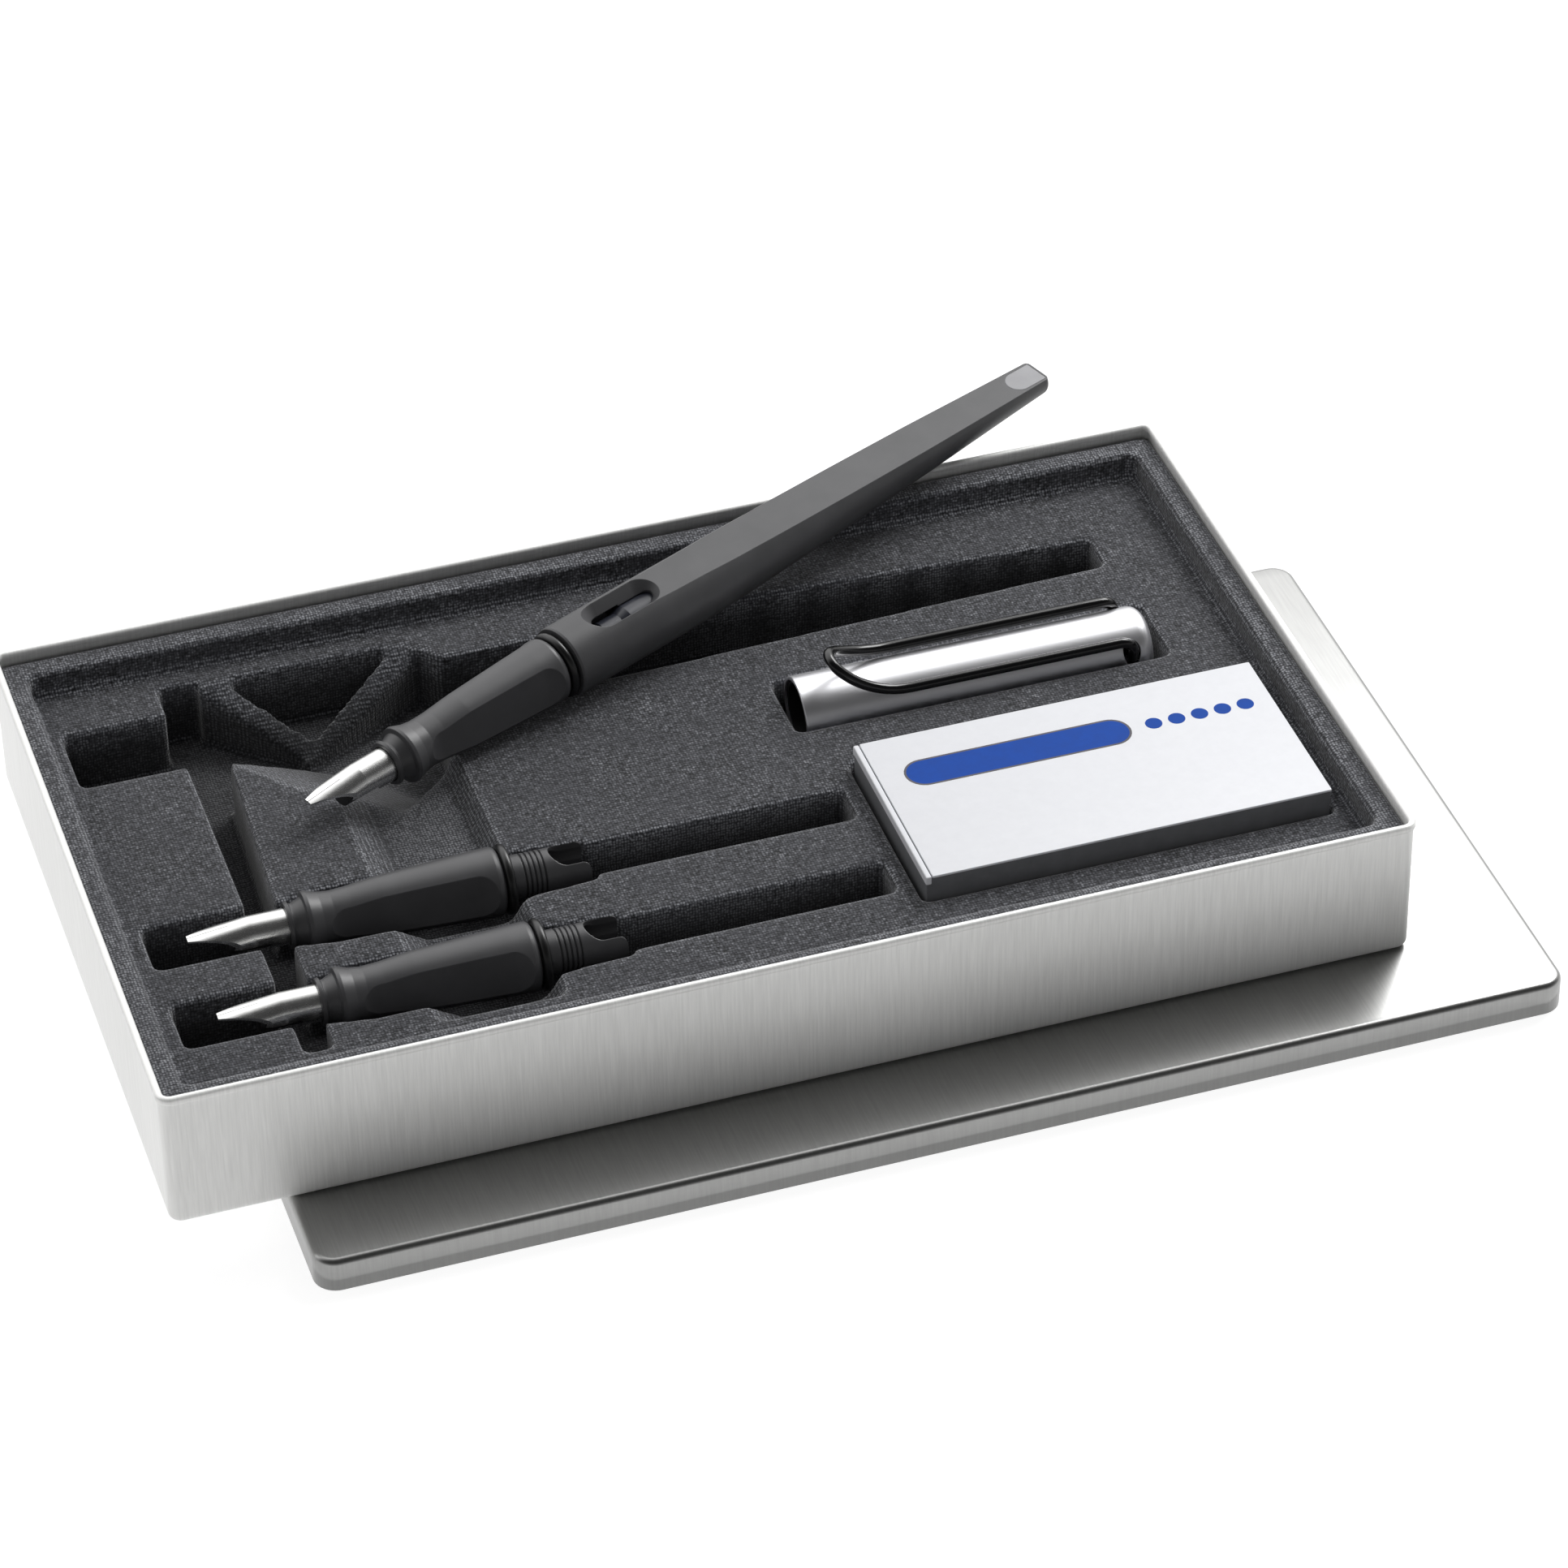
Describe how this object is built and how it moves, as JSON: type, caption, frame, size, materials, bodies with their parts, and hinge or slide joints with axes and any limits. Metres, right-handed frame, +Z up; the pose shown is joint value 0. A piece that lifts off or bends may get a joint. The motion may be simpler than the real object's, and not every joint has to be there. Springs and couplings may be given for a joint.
{
  "type": "calligraphy set",
  "caption": "Shallow metal box on its lid with a shaped insert that holds a calligraphy pen, writing units, a cap with a wire clip and a carton of ink.",
  "frame": {"origin": "centre of the whole set in plan, on the surface it stands on (the lid's lower edge)", "axes": "+X along the box's front, to the right; +Y to the back; +Z up"},
  "size_m": [0.237, 0.1551, 0.0416],
  "materials": {
    "lid_metal": "brushed satin",
    "tray_metal": "brushed satin",
    "insert": "short dark knit over foam",
    "barrel_plastic": "satin",
    "inlay": "satin",
    "seal_rubber": "smooth",
    "grip_plastic": "semi-gloss with matte finger flats",
    "feed_plastic": "smooth",
    "nib_steel": "polished",
    "cartridge": "smooth, filled with ink",
    "cap_metal": "satin",
    "liner": "smooth",
    "finial": "satin",
    "clip_wire": "gloss black",
    "carton": "smooth coated, with a printed blue bar"
  },
  "bodies": {
    "lid": {"box_lid": "lid_metal"},
    "tray": {"tray": "tray_metal", "insert_base": "insert", "insert_bed": "insert", "insert_border": "insert"},
    "barrel": {"pen_barrel": "barrel_plastic", "barrel_inlay": "inlay"},
    "seal": {"pen_seal_ring": "seal_rubber"},
    "pen_unit": {"pen_grip": "grip_plastic", "pen_feed": "feed_plastic", "pen_cartridge": "cartridge"},
    "pen_nib": {"pen_nib": "nib_steel"},
    "cap": {"cap_shell": "cap_metal", "cap_liner": "liner", "cap_finial": "finial"},
    "clip": {"cap_clip": "clip_wire"},
    "spare_a": {"spare_a_grip": "grip_plastic", "spare_a_seal_ring": "seal_rubber", "spare_a_feed": "feed_plastic"},
    "spare_a_nib": {"spare_a_nib": "nib_steel"},
    "spare_b": {"spare_b_grip": "grip_plastic", "spare_b_seal_ring": "seal_rubber", "spare_b_feed": "feed_plastic"},
    "spare_b_nib": {"spare_b_nib": "nib_steel"},
    "ink_pack": {"ink_carton": "carton", "cartridge_1": "cartridge", "cartridge_2": "cartridge", "cartridge_3": "cartridge", "cartridge_4": "cartridge", "cartridge_5": "cartridge"}
  },
  "joints": [
    {"name": "tray_lift", "type": "slide", "parent": "lid", "child": "tray", "axis": [0, 0, 1], "range_m": [0, 0.05]},
    {"name": "pen_lift", "type": "slide", "parent": "tray", "child": "barrel", "axis": [0, 0, 1], "range_m": [0, 0.05]},
    {"name": "pen_draw", "type": "slide", "parent": "barrel", "child": "seal", "axis": [-0.916, -0.3983, -0.0471], "range_m": [0, 0.00276]},
    {"name": "pen_unscrew", "type": "hinge", "parent": "seal", "child": "pen_unit", "pos_m": [-0.0263, 0.02924, 0.03236], "axis": [-0.916, -0.3983, -0.0471], "range_deg": [0, 1170.5]},
    {"name": "pen_nib_pull", "type": "slide", "parent": "pen_unit", "child": "pen_nib", "axis": [-0.916, -0.3983, -0.0471], "range_m": [0, 0.01]},
    {"name": "cap_lift", "type": "slide", "parent": "tray", "child": "cap", "axis": [0, 0, 1], "range_m": [0, 0.05]},
    {"name": "clip_flex", "type": "hinge", "parent": "cap", "child": "clip", "pos_m": [0.07243, 0.01313, 0.02636], "axis": [0, 0.9877, 0.1564], "range_deg": [0, 4], "stiffness_Nm_per_rad": 0.5},
    {"name": "spare_a_lift", "type": "slide", "parent": "tray", "child": "spare_a", "axis": [0, 0, 1], "range_m": [0, 0.04]},
    {"name": "spare_a_nib_pull", "type": "slide", "parent": "spare_a", "child": "spare_a_nib", "axis": [-1, 0, 0], "range_m": [0, 0.006]},
    {"name": "spare_b_lift", "type": "slide", "parent": "tray", "child": "spare_b", "axis": [0, 0, 1], "range_m": [0, 0.04]},
    {"name": "spare_b_nib_pull", "type": "slide", "parent": "spare_b", "child": "spare_b_nib", "axis": [-1, 0, 0], "range_m": [0, 0.006]},
    {"name": "pack_lift", "type": "slide", "parent": "tray", "child": "ink_pack", "axis": [0, 0, 1], "range_m": [0, 0.04]}
  ],
  "couplings": [
    {"joint": "pen_unscrew", "follows": "pen_draw", "rad_per_m": 7392}
  ]
}
